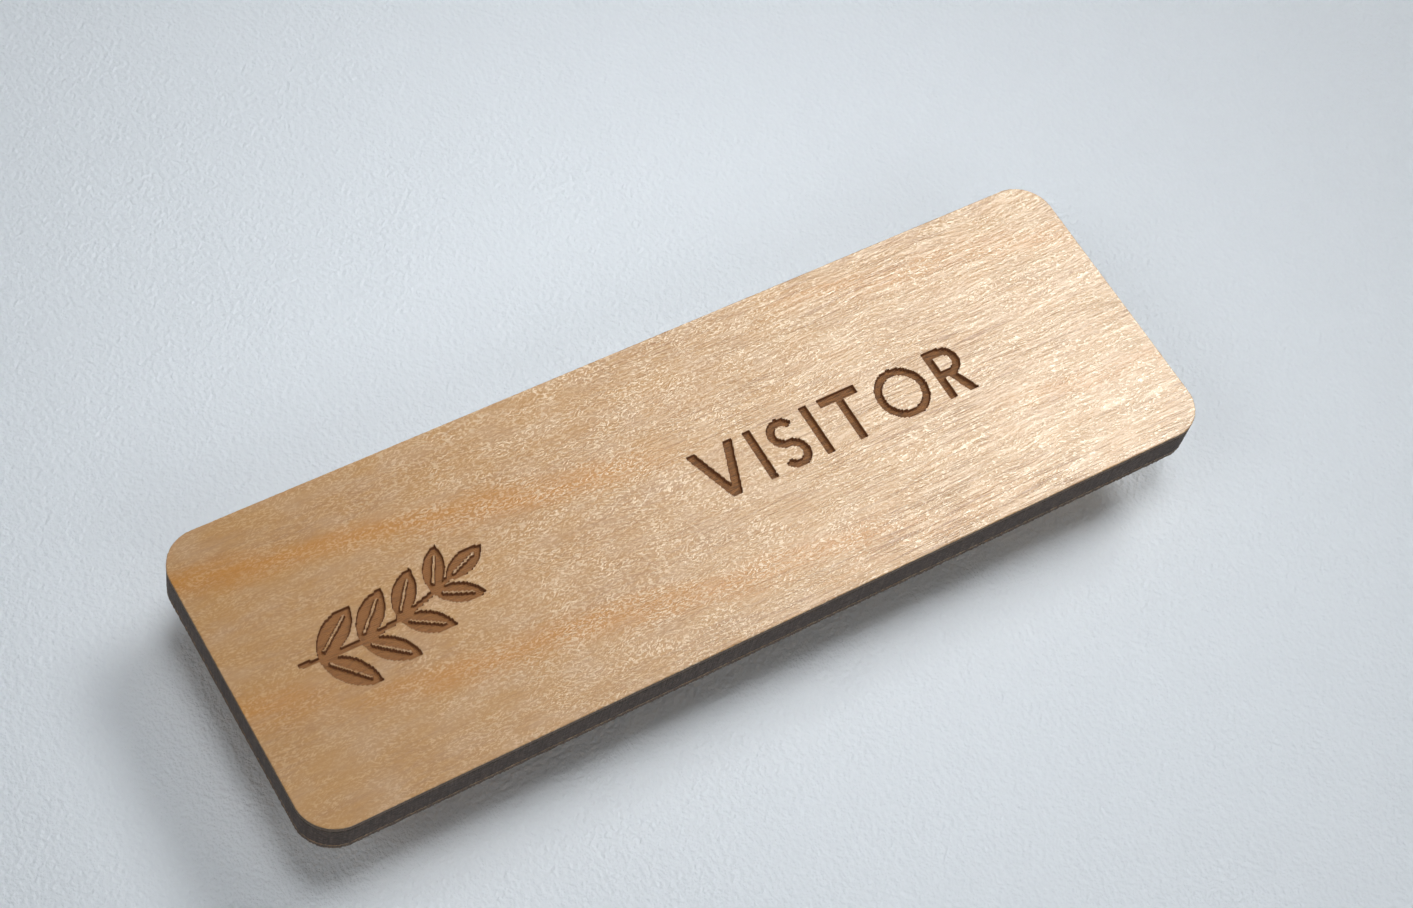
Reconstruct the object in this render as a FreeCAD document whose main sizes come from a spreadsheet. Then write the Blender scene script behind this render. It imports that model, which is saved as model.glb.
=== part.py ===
import FreeCAD, Part
import os

import Sketcher

# A wooden name badge on its magnetic clasp.
#
# The badge lies face up: X runs along the word, Y up the word, Z out of the face. The origin is
# the centre of the clasp's underside, which is what the badge stands on. From the bottom up:
#   magnet_carrier   moulded bar with three sockets, and a magnet in each
#   steel_bar        plated bar that the magnets grip
#   foam_tape        double-sided tape between the bar and the board
#   back_veneer      \
#   core_board        > the laser-cut board
#   face_veneer      /  with a leaf sprig and the word VISITOR engraved in it

# Driving sizes, in millimetres or degrees: name, value, meaning.
SIZES = (
    ("board_length", 76.0, "Board, along X"),
    ("board_width", 25.0, "Board, along Y"),
    ("board_corner", 3.0, "Radius of the board's corners"),
    ("face_thickness", 0.5, "Veneer on the face"),
    ("core_thickness", 2.4, "Board between the veneers"),
    ("back_thickness", 0.5, "Veneer on the back"),
    ("engraving_depth", 0.3, "How deep the laser cuts the face veneer"),
    ("cutter_overrun", 1.0, "How far a cutter stands out of what it cuts"),
    ("tape_margin", 1.0, "Steel bar left bare round the tape"),
    ("tape_thickness", 0.8, "Foam tape"),
    ("tape_corner", 1.0, "Radius of the tape's corners"),
    ("bar_thickness", 1.0, "Steel bar"),
    ("clasp_corner", 2.0, "Corner radius that the bar and the carrier share"),
    ("bar_round", 0.2, "Rounding that stamping leaves on the bar's edges"),
    ("magnet_radius", 5.0, "Disc magnet"),
    ("magnet_thickness", 3.0, "Disc magnet"),
    ("magnet_chamfer", 0.25, "Bevel on a magnet's rims"),
    ("magnet_recess", 0.1, "Magnet's top below the carrier's rim"),
    ("socket_clearance", 0.05, "Gap all round a magnet in its socket"),
    ("socket_floor", 1.6, "Plastic under a magnet"),
    ("socket_web", 3.9, "Plastic between two sockets"),
    ("socket_lead_in", 0.2, "Bevel on a socket's mouth"),
    ("side_wall", 1.45, "Plastic beside a socket, at its thinnest"),
    ("end_wall", 3.45, "Plastic past the last socket"),
    ("cored_wall", 1.2, "Plastic left between a cored slot and a socket"),
    ("cored_length", 7.0, "Cored slot, along Y"),
    ("carrier_round", 0.6, "Rounding of the carrier's underside"),
    ("carrier_bevel", 0.3, "Bevel of the carrier's rim"),
    ("notch_length", 12.0, "Fingernail notch, along X"),
    ("notch_depth", 0.8, "Fingernail notch, into the carrier's side"),
    ("notch_height", 1.2, "Fingernail notch, down from the rim"),
    ("word_margin", 14.8, "Word's right end to the board's right edge"),
    ("word_baseline", -2.17, "Bottom of the letters"),
    ("cap_height", 4.35, "Height of the letters"),
    ("stem_width", 0.62, "Width of a letter's strokes"),
    ("slant_width", 0.72, "Level width of a letter's slanting strokes"),
    ("letter_gap", 0.95, "Space between letters"),
    ("v_width", 3.9, "Letter V"),
    ("t_width", 3.3, "Letter T"),
    ("r_arm", 1.35, "Straight part of the letter R's arms"),
    ("r_bowl", 1.25, "Outer radius of the letter R's bowl"),
    ("r_lean", 1.0, "How far the letter R's leg slants"),
    ("s_turn", 242.0, "Angle that each bow of the letter S turns through"),
    ("sprig_margin", 4.9, "Board's left edge to the sprig's foot"),
    ("sprig_foot", -0.4, "Height of the sprig's foot, along Y"),
    ("sprig_radius", 24.0, "Bend of the sprig's stem"),
    ("sprig_start", 262.0, "Angle where the stem starts on its bend"),
    ("sprig_turn", 31.0, "Angle that the stem turns through"),
    ("sprig_stem", 0.36, "Width of the stem"),
    ("leaf_length", 4.7, "Lowest leaves"),
    ("leaf_shrink", 0.3, "How much shorter each higher pair is"),
    ("leaf_spread", 42.0, "Angle between a leaf and the stem"),
    ("leaf_first", 3.6, "Angle along the bend to the first pair"),
    ("leaf_step", 7.6, "Angle along the bend from pair to pair"),
    ("tip_overlap", 1.2, "Angle that the tip leaf reaches back down the stem"),
    ("leaf_vein", 0.2, "Uncut line down the middle of a leaf"),
    ("vein_start", 0.7, "Where that line starts, from the leaf's foot"),
    ("vein_end", 0.8, "Where it stops, short of the leaf's tip"),
)
LEAF_PAIRS = 4
SOCKETS = 3
TOUCH = 1e-4

# Sizes worked out from the driving sizes, as expressions on the sheet.
SOCKET_RADIUS = "(Dims.magnet_radius + Dims.socket_clearance)"
SOCKET_DEPTH = "(Dims.magnet_thickness + Dims.magnet_recess)"
SOCKET_PITCH = f"(2 * {SOCKET_RADIUS} + Dims.socket_web)"
CORED_WIDTH = "(Dims.socket_web - 2 * Dims.cored_wall)"
CLASP_LENGTH = f"(2 * {SOCKET_PITCH} + 2 * {SOCKET_RADIUS} + 2 * Dims.end_wall)"
CLASP_WIDTH = f"(2 * {SOCKET_RADIUS} + 2 * Dims.side_wall)"

# Heights of the stack, from the underside of the carrier up.
BAR_BASE = f"(Dims.socket_floor + {SOCKET_DEPTH})"
TAPE_BASE = f"({BAR_BASE} + Dims.bar_thickness)"
BACK_BASE = f"({TAPE_BASE} + Dims.tape_thickness)"
CORE_BASE = f"({BACK_BASE} + Dims.back_thickness)"
FACE_BASE = f"({CORE_BASE} + Dims.core_thickness)"
ENGRAVING_FLOOR = f"({FACE_BASE} + Dims.face_thickness - Dims.engraving_depth)"
ENGRAVING_HEIGHT = "(Dims.engraving_depth + Dims.cutter_overrun)"

# Centre of the bend that the sprig's stem follows.
BEND_X = "(Dims.sprig_margin - Dims.board_length / 2 - Dims.sprig_radius * cos(Dims.sprig_start))"
BEND_Y = "(Dims.sprig_foot - Dims.sprig_radius * sin(Dims.sprig_start))"

# Strokes of the letters.
CAP = "Dims.cap_height"
STEM = "Dims.stem_width"
SLANT = "Dims.slant_width"
BASELINE = "Dims.word_baseline"
S_RADIUS = f"(({CAP} + {STEM}) / 4)"
R_WIDTH = "(Dims.r_arm + Dims.r_bowl)"
R_WAIST = f"({CAP} - 2 * Dims.r_bowl)"
WORD = "VISITOR"


def make_sheet(doc):
    """Write the driving sizes into the document's spreadsheet."""
    sheet = doc.addObject("Spreadsheet::Sheet", "Dims")
    for row, (alias, value, meaning) in enumerate(SIZES, start=1):
        sheet.set(f"A{row}", meaning)
        sheet.set(f"B{row}", str(value))
        sheet.setAlias(f"B{row}", alias)
    doc.recompute()
    return sheet


def bind(item, **expressions):
    """Tie an object's properties to expressions on the sheet."""
    for prop, expression in expressions.items():
        item.setExpression(prop, expression)


def place(item, x="0", y="0", z="0", turn="0"):
    """Tie an object's place, and its turn about Z, to expressions on the sheet."""
    item.Placement = FreeCAD.Placement(FreeCAD.Vector(), FreeCAD.Rotation(FreeCAD.Vector(0, 0, 1), 1))
    item.setExpression(".Placement.Base.x", x)
    item.setExpression(".Placement.Base.y", y)
    item.setExpression(".Placement.Base.z", z)
    item.setExpression(".Placement.Rotation.Angle", turn)
    return item


# ---- bodies, sketches and their features ---------------------------------------------------


def make_body(doc, label, x="0", z="0"):
    """Start a body at its place in the stack."""
    body = doc.addObject("PartDesign::Body", label)
    body.Label = label
    return place(body, x=x, z=z)


def origin_feature(body, role):
    """Find a body's own origin plane or axis."""
    return next(item for item in body.Origin.OriginFeatures if item.Role == role)


def make_sketch(body, name, x="0", y="0", z="0"):
    """Start a sketch that lies flat in a body, centred on a point."""
    sketch = body.newObject("Sketcher::SketchObject", name)
    sketch.AttachmentSupport = (origin_feature(body, "XY_Plane"), [""])
    sketch.MapMode = "FlatFace"
    sketch.setExpression(".AttachmentOffset.Base.x", x)
    sketch.setExpression(".AttachmentOffset.Base.y", y)
    sketch.setExpression(".AttachmentOffset.Base.z", z)
    return sketch


def constrain(sketch, name, expression, *constraint):
    """Add a dimension to a sketch and tie it to an expression on the sheet."""
    number = sketch.addConstraint(Sketcher.Constraint(*constraint))
    sketch.renameConstraint(number, name)
    sketch.setExpression(f"Constraints.{name}", expression)


def draw_rectangle(sketch, length, width):
    """Draw a rectangle about the sketch's origin."""
    corners = [FreeCAD.Vector(x, y) for x, y in ((-1, -1), (1, -1), (1, 1), (-1, 1))]
    for start, end in zip(corners, corners[1:] + corners[:1]):
        sketch.addGeometry(Part.LineSegment(start, end))
    for line in range(4):
        sketch.addConstraint(Sketcher.Constraint("Coincident", line, 2, (line + 1) % 4, 1))
    for line in (0, 2):
        sketch.addConstraint(Sketcher.Constraint("Horizontal", line))
        sketch.addConstraint(Sketcher.Constraint("Vertical", line + 1))
    sketch.addConstraint(Sketcher.Constraint("Symmetric", 0, 1, 2, 1, -1, 1))
    constrain(sketch, "length", length, "DistanceX", 0, 1, 0, 2, 2)
    constrain(sketch, "width", width, "DistanceY", 1, 1, 1, 2, 2)


def draw_circle(sketch, radius):
    """Draw a circle about the sketch's origin."""
    sketch.addGeometry(Part.Circle(FreeCAD.Vector(), FreeCAD.Vector(0, 0, 1), 1))
    sketch.addConstraint(Sketcher.Constraint("Coincident", 0, 3, -1, 1))
    constrain(sketch, "radius", radius, "Radius", 0, 1)


def make_pad(body, sketch, name, length):
    """Raise a sketch into a solid."""
    pad = body.newObject("PartDesign::Pad", name)
    pad.Profile = sketch
    bind(pad, Length=length)
    body.Document.recompute()
    return pad


def make_pocket(body, sketch, name, depth):
    """Cut a sketch down into the body, and see that it cuts."""
    before = body.Tip.Shape.Volume
    pocket = body.newObject("PartDesign::Pocket", name)
    pocket.Profile = sketch
    bind(pocket, Length=depth)
    body.Document.recompute()
    if not pocket.Shape.Volume < before:
        raise RuntimeError(f"{name} cuts nothing")
    return pocket


def make_row(body, feature, name, length, count):
    """Repeat a feature along X."""
    row = body.newObject("PartDesign::LinearPattern", name)
    row.Originals = [feature]
    row.Direction = (origin_feature(body, "X_Axis"), [""])
    row.Occurrences = count
    bind(row, Length=length)
    body.Tip = row
    body.Document.recompute()
    return row


def make_mirror(body, feature, name):
    """Repeat a feature on the body's other side."""
    mirror = body.newObject("PartDesign::Mirrored", name)
    mirror.Originals = [feature]
    mirror.MirrorPlane = (origin_feature(body, "XZ_Plane"), [""])
    body.Tip = mirror
    body.Document.recompute()
    return mirror


def dress_edges(body, kind, name, size, test):
    """Fillet or chamfer the edges of the body that pass a test."""
    base = body.Tip
    names = [f"Edge{number}" for number, edge in enumerate(base.Shape.Edges, start=1) if test(edge)]
    dressed = body.newObject(f"PartDesign::{kind}", name)
    dressed.Base = (base, names)
    bind(dressed, **{"Radius" if kind == "Fillet" else "Size": size})
    body.Document.recompute()
    return dressed


def is_upright(edge):
    """Tell a straight edge along Z."""
    box = edge.BoundBox
    return max(box.XLength, box.YLength) < TOUCH < box.ZLength


def level_at(height):
    """Make a test for edges that lie level at a height."""
    return lambda edge: abs(edge.BoundBox.ZMin - height) < TOUCH and edge.BoundBox.ZLength < TOUCH


# ---- the flat pieces ------------------------------------------------------------------------


def make_slab(doc, label, base, length, width, thickness, corner):
    """Make a flat piece with rounded corners, centred on the stack's axis."""
    body = make_body(doc, label, z=base)
    outline = make_sketch(body, f"{label}_outline")
    draw_rectangle(outline, length, width)
    make_pad(body, outline, f"{label}_pad", thickness)
    dress_edges(body, "Fillet", f"{label}_corners", corner, is_upright)
    return body


def make_board(doc, label, base, thickness):
    """Make one layer of the board."""
    size = ("Dims.board_length", "Dims.board_width")
    return make_slab(doc, label, base, *size, thickness, "Dims.board_corner")


def make_tape(doc):
    """Make the foam tape, set in from the steel bar's edges."""
    size = (f"{CLASP_LENGTH} - 2 * Dims.tape_margin", f"{CLASP_WIDTH} - 2 * Dims.tape_margin")
    return make_slab(doc, "foam_tape", TAPE_BASE, *size, "Dims.tape_thickness", "Dims.tape_corner")


def make_steel_bar(doc):
    """Make the stamped bar, with its edges rounded top and bottom."""
    size = (CLASP_LENGTH, CLASP_WIDTH, "Dims.bar_thickness")
    body = make_slab(doc, "steel_bar", BAR_BASE, *size, "Dims.clasp_corner")
    dress_edges(body, "Fillet", "steel_bar_edges", "Dims.bar_round", lambda edge: not is_upright(edge))
    return body


# ---- the magnetic backing -------------------------------------------------------------------


def make_carrier(doc):
    """Make the moulded carrier, with sockets, cored slots and fingernail notches."""
    body = make_slab(doc, "magnet_carrier", "0", CLASP_LENGTH, CLASP_WIDTH, BAR_BASE, "Dims.clasp_corner")
    rim = body.Shape.BoundBox.ZMax
    dress_edges(body, "Fillet", "carrier_underside", "Dims.carrier_round", level_at(0))
    dress_edges(body, "Chamfer", "carrier_rim", "Dims.carrier_bevel", level_at(rim))

    notch = make_sketch(body, "notch_outline", y=f"{CLASP_WIDTH} / 2", z=BAR_BASE)
    draw_rectangle(notch, "Dims.notch_length", "2 * Dims.notch_depth")
    make_mirror(body, make_pocket(body, notch, "notch", "Dims.notch_height"), "notches")

    socket = make_sketch(body, "socket_outline", x=f"-{SOCKET_PITCH}", z=BAR_BASE)
    draw_circle(socket, SOCKET_RADIUS)
    cut = make_pocket(body, socket, "socket", SOCKET_DEPTH)
    make_row(body, cut, "sockets", f"2 * {SOCKET_PITCH}", SOCKETS)

    cored = make_sketch(body, "cored_outline", x=f"-{SOCKET_PITCH} / 2", z=BAR_BASE)
    draw_rectangle(cored, CORED_WIDTH, "Dims.cored_length")
    cut = make_pocket(body, cored, "cored_slot", SOCKET_DEPTH)
    make_row(body, cut, "cored_slots", SOCKET_PITCH, SOCKETS - 1)

    at_rim = level_at(rim)

    def is_mouth(edge):
        return at_rim(edge) and edge.isClosed()

    dress_edges(body, "Chamfer", "socket_lead_ins", "Dims.socket_lead_in", is_mouth)
    return body


def make_magnet(doc, label, x):
    """Make one disc magnet, with bevelled rims, in its socket."""
    body = make_body(doc, label, x=x, z="Dims.socket_floor")
    outline = make_sketch(body, f"{label}_outline")
    draw_circle(outline, "Dims.magnet_radius")
    make_pad(body, outline, f"{label}_pad", "Dims.magnet_thickness")
    dress_edges(body, "Chamfer", f"{label}_rims", "Dims.magnet_chamfer", lambda edge: edge.isClosed())
    return body


def make_magnets(doc):
    """Make the three magnets, a socket's pitch apart."""
    places = {"left_magnet": f"-{SOCKET_PITCH}", "centre_magnet": "0", "right_magnet": SOCKET_PITCH}
    return [make_magnet(doc, label, x) for label, x in places.items()]


# ---- the engraving --------------------------------------------------------------------------


def make_stroke(doc, name, x, y, width, height, lean="0"):
    """Make the cutter of a straight stroke with level ends, its top moved along X by the lean."""
    stroke = doc.addObject("Part::Wedge", name)
    bind(stroke, Xmin="0", Xmax=width, X2min=lean, X2max=f"{lean} + {width}")
    bind(stroke, Ymin="0", Ymax=height)
    bind(stroke, Zmin="0", Zmax=ENGRAVING_HEIGHT, Z2min="0", Z2max=ENGRAVING_HEIGHT)
    return place(stroke, x, y, ENGRAVING_FLOOR)


def make_disc(doc, name, radius, angle="360", x="0", y="0"):
    """Make a disc, or a slice of one, as thick as a cutter."""
    disc = doc.addObject("Part::Cylinder", name)
    bind(disc, Radius=radius, Angle=angle, Height=ENGRAVING_HEIGHT)
    return place(disc, x, y)


def combine(doc, kind, name, base, tool):
    """Cut one shape from another, or keep what they share."""
    result = doc.addObject(f"Part::{kind}", name)
    result.Base = base
    result.Tool = tool
    return result


def make_bow(doc, name, x, y, radius, width, start="0", turn="360"):
    """Make the cutter of a round stroke, from its outer radius and its width."""
    outer = make_disc(doc, f"{name}_outer", radius, turn)
    inner = make_disc(doc, f"{name}_inner", f"{radius} - {width}")
    return place(combine(doc, "Cut", name, outer, inner), x, y, ENGRAVING_FLOOR, start)


def make_v(doc, name, x):
    """Make the letter V: two strokes that lean away from one foot."""
    lean = f"(Dims.v_width - {SLANT}) / 2"
    return [
        make_stroke(doc, f"{name}_left", f"{x} + {lean}", BASELINE, SLANT, CAP, f"-({lean})"),
        make_stroke(doc, f"{name}_right", f"{x} + {lean}", BASELINE, SLANT, CAP, lean),
    ]


def make_i(doc, name, x):
    """Make the letter I: one stem."""
    return [make_stroke(doc, name, x, BASELINE, STEM, CAP)]


def make_s(doc, name, x):
    """Make the letter S: two bows that meet halfway up."""
    middle = f"{x} + {S_RADIUS}"
    upper = f"{BASELINE} + {CAP} - {S_RADIUS}"
    lower = f"{BASELINE} + {S_RADIUS}"
    turn = "Dims.s_turn"
    return [
        make_bow(doc, f"{name}_upper", middle, upper, S_RADIUS, STEM, f"270 - {turn}", turn),
        make_bow(doc, f"{name}_lower", middle, lower, S_RADIUS, STEM, f"90 - {turn}", turn),
    ]


def make_t(doc, name, x):
    """Make the letter T: an arm on a stem."""
    return [
        make_stroke(doc, f"{name}_arm", x, f"{BASELINE} + {CAP} - {STEM}", "Dims.t_width", STEM),
        make_stroke(doc, f"{name}_stem", f"{x} + (Dims.t_width - {STEM}) / 2", BASELINE, STEM, CAP),
    ]


def make_o(doc, name, x):
    """Make the letter O: one ring."""
    return [make_bow(doc, name, f"{x} + {CAP} / 2", f"{BASELINE} + {CAP} / 2", f"{CAP} / 2", STEM)]


def make_r(doc, name, x):
    """Make the letter R: a stem, two arms that a bowl joins, and a leg from the waist down."""
    waist = f"{BASELINE} + {R_WAIST}"
    foot = f"{x} + {R_WIDTH} - {SLANT}"
    centre = (f"{x} + Dims.r_arm", f"{BASELINE} + {CAP} - Dims.r_bowl")
    leg = f"{R_WAIST} + {STEM} / 2"
    return [
        make_stroke(doc, f"{name}_stem", x, BASELINE, STEM, CAP),
        make_stroke(doc, f"{name}_top", x, f"{BASELINE} + {CAP} - {STEM}", "Dims.r_arm", STEM),
        make_stroke(doc, f"{name}_waist", x, waist, "Dims.r_arm", STEM),
        make_bow(doc, f"{name}_bowl", *centre, "Dims.r_bowl", STEM, "-90", "180"),
        make_stroke(doc, f"{name}_leg", foot, BASELINE, SLANT, leg, "-Dims.r_lean"),
    ]


# How each letter is made, and how wide it is.
LETTERS = {
    "V": (make_v, "Dims.v_width"),
    "I": (make_i, STEM),
    "S": (make_s, f"2 * {S_RADIUS}"),
    "T": (make_t, "Dims.t_width"),
    "O": (make_o, CAP),
    "R": (make_r, R_WIDTH),
}


def make_word(doc):
    """Make the cutters of the word, letter by letter from its right end."""
    cutters = []
    x = "Dims.board_length / 2 - Dims.word_margin"
    for number, letter in reversed(list(enumerate(WORD, start=1))):
        make, width = LETTERS[letter]
        x = f"{x} - {width}"
        cutters += make(doc, f"letter_{number}", x)
        x = f"{x} - Dims.letter_gap"
    return cutters


def make_leaf(doc, name, length, x, y, turn):
    """Make the cutter of one leaf: what two discs share, less a line down its middle."""
    arc = f"{length} / sqrt(2)"
    sides = [
        make_disc(doc, f"{name}_{side}", arc, x=f"{length} / 2", y=f"{sign}{length} / 2")
        for side, sign in (("left", ""), ("right", "-"))
    ]
    blade = combine(doc, "Common", f"{name}_blade", *sides)
    vein = doc.addObject("Part::Box", f"{name}_vein")
    bind(vein, Length=f"{length} - Dims.vein_start - Dims.vein_end", Width="Dims.leaf_vein")
    bind(vein, Height=ENGRAVING_HEIGHT)
    place(vein, x="Dims.vein_start", y="-Dims.leaf_vein / 2")
    return place(combine(doc, "Cut", name, blade, vein), x, y, ENGRAVING_FLOOR, turn)


def on_bend(angle):
    """Give the place on the stem's bend at an angle, as two expressions."""
    return f"{BEND_X} + Dims.sprig_radius * cos({angle})", f"{BEND_Y} + Dims.sprig_radius * sin({angle})"


def make_sprig(doc):
    """Make the cutters of the leaf sprig: a bent stem, leaves in pairs and one at its tip."""
    width = "Dims.sprig_stem"
    radius = f"Dims.sprig_radius + {width} / 2"
    bend = (BEND_X, BEND_Y, radius, width, "Dims.sprig_start", "Dims.sprig_turn")
    cutters = [make_bow(doc, "sprig_stem", *bend)]
    for pair in range(LEAF_PAIRS):
        angle = f"(Dims.sprig_start + Dims.leaf_first + {pair} * Dims.leaf_step)"
        length = f"(Dims.leaf_length - {pair} * Dims.leaf_shrink)"
        for side, sign in (("upper", "+"), ("lower", "-")):
            turn = f"{angle} - 270 {sign} Dims.leaf_spread"
            cutters.append(make_leaf(doc, f"leaf_{pair + 1}_{side}", length, *on_bend(angle), turn))
    tip = "(Dims.sprig_start + Dims.sprig_turn - Dims.tip_overlap)"
    cutters.append(make_leaf(doc, "leaf_tip", length, *on_bend(tip), f"{tip} - 270"))
    return cutters


def make_face(doc):
    """Make the face veneer, with the sprig and the word cut into it."""
    blank = make_board(doc, "face_blank", FACE_BASE, "Dims.face_thickness")
    cutter = doc.addObject("Part::MultiFuse", "engraving")
    cutter.Shapes = make_sprig(doc) + make_word(doc)
    cutter.Refine = True
    face = combine(doc, "Cut", "face_veneer", blank, cutter)
    doc.recompute()
    if not face.Shape.Volume < blank.Shape.Volume:
        raise RuntimeError("the engraving cuts nothing")
    return face


# ---- checking and writing -------------------------------------------------------------------


def check(doc, nodes):
    """Stop if any object failed, or a sub-part isn't one valid solid."""
    failed = [item.Name for item in doc.Objects if {"Invalid", "Error"} & set(item.State)]
    if failed:
        raise RuntimeError(f"failed objects: {failed}")
    for node in nodes:
        shape = node.Shape
        if shape.isNull() or not shape.isValid() or len(shape.Solids) != 1:
            raise RuntimeError(f"{node.Label} isn't one valid solid")


def write(nodes):
    """Write each sub-part to a file with its own name."""
    os.makedirs("parts", exist_ok=True)
    for node in nodes:
        node.Shape.exportStep(f"parts/{node.Label}.step")
        box = node.Shape.BoundBox
        print(
            f"{node.Label:15} {node.Shape.Volume:9.2f} mm3  {box.XLength:6.2f} x {box.YLength:5.2f}"
            f" x {box.ZLength:4.2f}  from z {box.ZMin:5.2f}"
        )


def main():
    """Build the badge and write its sub-parts."""
    doc = FreeCAD.newDocument("name_badge")
    make_sheet(doc)
    nodes = [make_carrier(doc), *make_magnets(doc), make_steel_bar(doc), make_tape(doc)]
    nodes.append(make_board(doc, "back_veneer", BACK_BASE, "Dims.back_thickness"))
    nodes.append(make_board(doc, "core_board", CORE_BASE, "Dims.core_thickness"))
    nodes.append(make_face(doc))
    doc.recompute()
    check(doc, nodes)
    write(nodes)


main()
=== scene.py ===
"""Looks for a wooden name badge that lies face up on its magnetic clasp."""

import logging
import math
from dataclasses import dataclass
from enum import Enum
from typing import Any

import bpy
from bpy.types import Material, Node, NodeSocket, NodeTree, Object
from mathutils import Matrix, Vector


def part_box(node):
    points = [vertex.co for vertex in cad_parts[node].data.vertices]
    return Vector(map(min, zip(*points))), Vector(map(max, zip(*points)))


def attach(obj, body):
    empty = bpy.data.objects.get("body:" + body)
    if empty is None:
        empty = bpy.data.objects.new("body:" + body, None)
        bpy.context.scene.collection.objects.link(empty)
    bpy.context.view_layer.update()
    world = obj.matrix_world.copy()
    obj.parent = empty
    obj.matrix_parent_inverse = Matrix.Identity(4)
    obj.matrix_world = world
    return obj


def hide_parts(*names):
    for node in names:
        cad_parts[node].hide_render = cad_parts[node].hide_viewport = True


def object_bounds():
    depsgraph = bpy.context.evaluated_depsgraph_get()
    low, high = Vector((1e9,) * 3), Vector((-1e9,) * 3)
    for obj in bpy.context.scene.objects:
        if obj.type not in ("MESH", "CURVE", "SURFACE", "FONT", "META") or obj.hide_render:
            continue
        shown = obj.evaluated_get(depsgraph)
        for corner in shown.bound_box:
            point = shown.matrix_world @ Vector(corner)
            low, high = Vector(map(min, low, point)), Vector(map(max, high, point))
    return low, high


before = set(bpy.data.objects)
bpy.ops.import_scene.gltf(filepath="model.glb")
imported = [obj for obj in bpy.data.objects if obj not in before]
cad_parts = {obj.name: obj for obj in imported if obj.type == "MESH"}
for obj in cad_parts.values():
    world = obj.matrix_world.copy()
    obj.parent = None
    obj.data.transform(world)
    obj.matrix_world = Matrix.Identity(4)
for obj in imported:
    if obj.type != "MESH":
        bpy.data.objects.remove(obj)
CAD_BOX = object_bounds()

MM = 0.001
WELD = 0.001 * MM  # points closer together than this are welded
NEAR = 0.01 * MM  # a CAD point within this of a plane lies on it
FRONT_BODY = "badge_front"
BURN = "burn"  # attribute of the face's mesh: how far inside the engraving a point is

MATH = "ShaderNodeMath"
VECTOR = "ShaderNodeVectorMath"
MIX = "ShaderNodeMix"
RANGE = "ShaderNodeMapRange"
SPLIT = "ShaderNodeSeparateXYZ"
JOIN_XYZ = "ShaderNodeCombineXYZ"
SMOOTH = "SMOOTHSTEP"

log = logging.getLogger("name_badge")


class Layer(Enum):
    """The flat layers that are grown. A layer's CAD node and its material slot have the same name."""

    FACE = "face_veneer"
    CORE = "core_board"
    BACK = "back_veneer"
    FOAM = "foam_tape"


# ---- small tools ------------------------------------------------------------------------------


def linear(colour: str) -> tuple[float, float, float, float]:
    """Turn an sRGB hex colour into linear values.

    Args:
        colour: Six hex digits, such as "c8a27c".

    Returns:
        Red, green, blue and a full alpha.
    """
    parts = [int(colour[at : at + 2], 16) / 255 for at in (0, 2, 4)]
    red, green, blue = (c / 12.92 if c <= 0.04045 else ((c + 0.055) / 1.055) ** 2.4 for c in parts)
    return red, green, blue, 1.0


def add(tree: NodeTree, kind: str, links: dict[Any, Any] | None = None, **settings: Any) -> Node:
    """Add a node with its settings and links.

    Args:
        tree: Tree that the node goes into.
        kind: The node's type, by its identifier.
        links: What goes into each input, by the input's name or its number among those in use. It is
            a plain value, an output socket, or a node, which stands for its first output in use.
        **settings: Properties of the node.

    Returns:
        The new node.
    """
    node = tree.nodes.new(kind)
    for name, value in settings.items():
        setattr(node, name, value)
    inputs = [socket for socket in node.inputs if socket.enabled]
    for key, value in (links or {}).items():
        socket = inputs[key] if isinstance(key, int) else next(item for item in inputs if item.name == key)
        if isinstance(value, Node):
            value = next(item for item in value.outputs if item.enabled)
        if isinstance(value, NodeSocket):
            tree.links.new(value, socket)
        else:
            socket.default_value = value
    return node


@dataclass(frozen=True)
class Blank:
    """A material just begun, with the place on the piece in millimetres, and its patterns' seed."""

    coat: Material
    tree: NodeTree
    shader: Node
    place: Node
    seed: float

    def wire(self, **sources: Node) -> None:
        """Link nodes to the shader's inputs.

        Args:
            **sources: The node for each input, whose name is written with _ for a space.
        """
        for name, source in sources.items():
            out = next(item for item in source.outputs if item.enabled)
            self.tree.links.new(out, self.shader.inputs[name.replace("_", " ")])

    def hold(self, **values: Any) -> None:
        """Set the shader's inputs that are the same all over.

        Args:
            **values: The value of each input, whose name is written with _ for a space.
        """
        for name, value in values.items():
            self.shader.inputs[name.replace("_", " ")].default_value = value


def begin(name: str, seed: float = 0.0) -> Blank:
    """Begin a material.

    Args:
        name: Name of the finish.
        seed: Its own seed, which is added to each of its patterns' seeds.

    Returns:
        The material with its shader.
    """
    coat = bpy.data.materials.new(name)
    coat.use_nodes = True
    tree = coat.node_tree
    tree.nodes.clear()
    shader = add(tree, "ShaderNodeBsdfPrincipled")
    add(tree, "ShaderNodeOutputMaterial", {"Surface": shader})
    metres = add(tree, "ShaderNodeTexCoord").outputs["Object"]
    place = add(tree, "ShaderNodeMapping", {"Vector": metres, "Scale": (1 / MM,) * 3})
    return Blank(coat, tree, shader, place, seed)


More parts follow.
